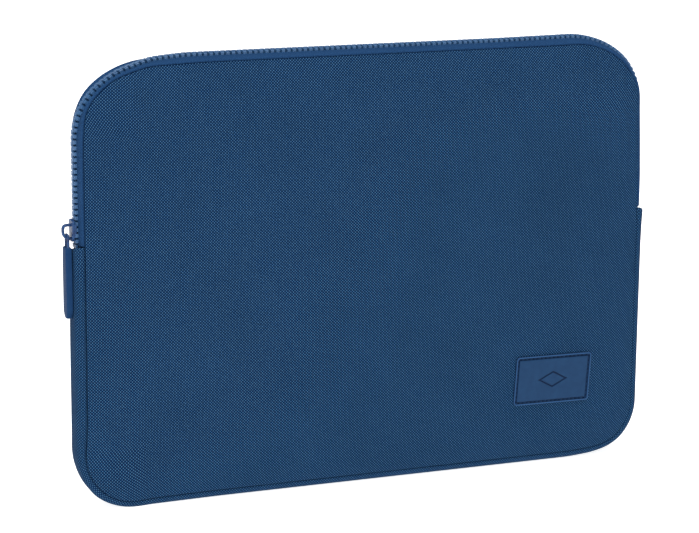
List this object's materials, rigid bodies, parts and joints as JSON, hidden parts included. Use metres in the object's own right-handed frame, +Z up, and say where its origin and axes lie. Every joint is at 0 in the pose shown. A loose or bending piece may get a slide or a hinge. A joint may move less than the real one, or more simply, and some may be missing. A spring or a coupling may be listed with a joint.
{
  "type": "laptop sleeve",
  "caption": "Slim padded laptop sleeve in woven navy fabric, with a zipper round its top and sides, a hanging rubber puller and a plain rubber patch.",
  "frame": {"origin": "middle of the flat bottom of the gusset, on the surface that the sleeve stands on", "axes": "+X to the right as seen from the front, +Z up the standing sleeve, front faces -Y"},
  "size_m": [0.3452, 0.0235, 0.249],
  "materials": {
    "woven_fabric": "fine two-tone weave, matte",
    "foam_padding": "closed-cell foam",
    "lining_fabric": "smooth knit, matte",
    "binding_tape": "woven tape, matte",
    "zipper_tape": "woven tape, matte",
    "tooth_plastic": "moulded, satin",
    "painted_casting": "satin paint",
    "painted_wire": "satin paint",
    "puller_rubber": "moulded, matte",
    "patch_rubber": "moulded, satin",
    "sewing_thread": "twisted thread"
  },
  "bodies": {
    "sleeve": {"back_outer_panel": "woven_fabric", "front_lower_outer_panel": "woven_fabric", "gusset_left_outer_strip": "woven_fabric", "gusset_right_outer_strip": "woven_fabric", "back_foam": "foam_padding", "front_lower_foam": "foam_padding", "gusset_foam_strip": "foam_padding", "back_lining": "lining_fabric", "front_lower_lining": "lining_fabric", "gusset_lining_strip": "lining_fabric", "back_seam_binding": "binding_tape", "front_lower_seam_binding": "binding_tape", "front_zipper_tape_ends": "zipper_tape", "back_zipper_tape": "zipper_tape", "front_zipper_end_teeth": "tooth_plastic", "back_zipper_teeth": "tooth_plastic", "zipper_stops": "tooth_plastic", "front_patch": "patch_rubber", "patch_stitches": "sewing_thread"},
    "front_flap": {"front_upper_outer_panel": "woven_fabric", "front_upper_foam": "foam_padding", "front_upper_lining": "lining_fabric", "front_upper_seam_binding": "binding_tape", "front_zipper_tape": "zipper_tape", "front_zipper_teeth": "tooth_plastic"},
    "slider": {"slider": "painted_casting"},
    "puller": {"pull_wire_loop": "painted_wire", "rubber_puller": "puller_rubber"}
  },
  "joints": [
    {"name": "flap_fold", "type": "hinge", "parent": "sleeve", "child": "front_flap", "pos_m": [0, -0.011, 0.166], "axis": [1, 0, 0], "range_deg": [0, 90], "stiffness_Nm_per_rad": 0.06},
    {"name": "slider_run", "type": "slide", "parent": "sleeve", "child": "slider", "axis": [0, 0, 1], "range_m": [0, 0.037]},
    {"name": "puller_swing", "type": "hinge", "parent": "slider", "child": "puller", "pos_m": [-0.1728, 0, 0.1546], "axis": [0, 1, 0], "range_deg": [0, 175]}
  ]
}
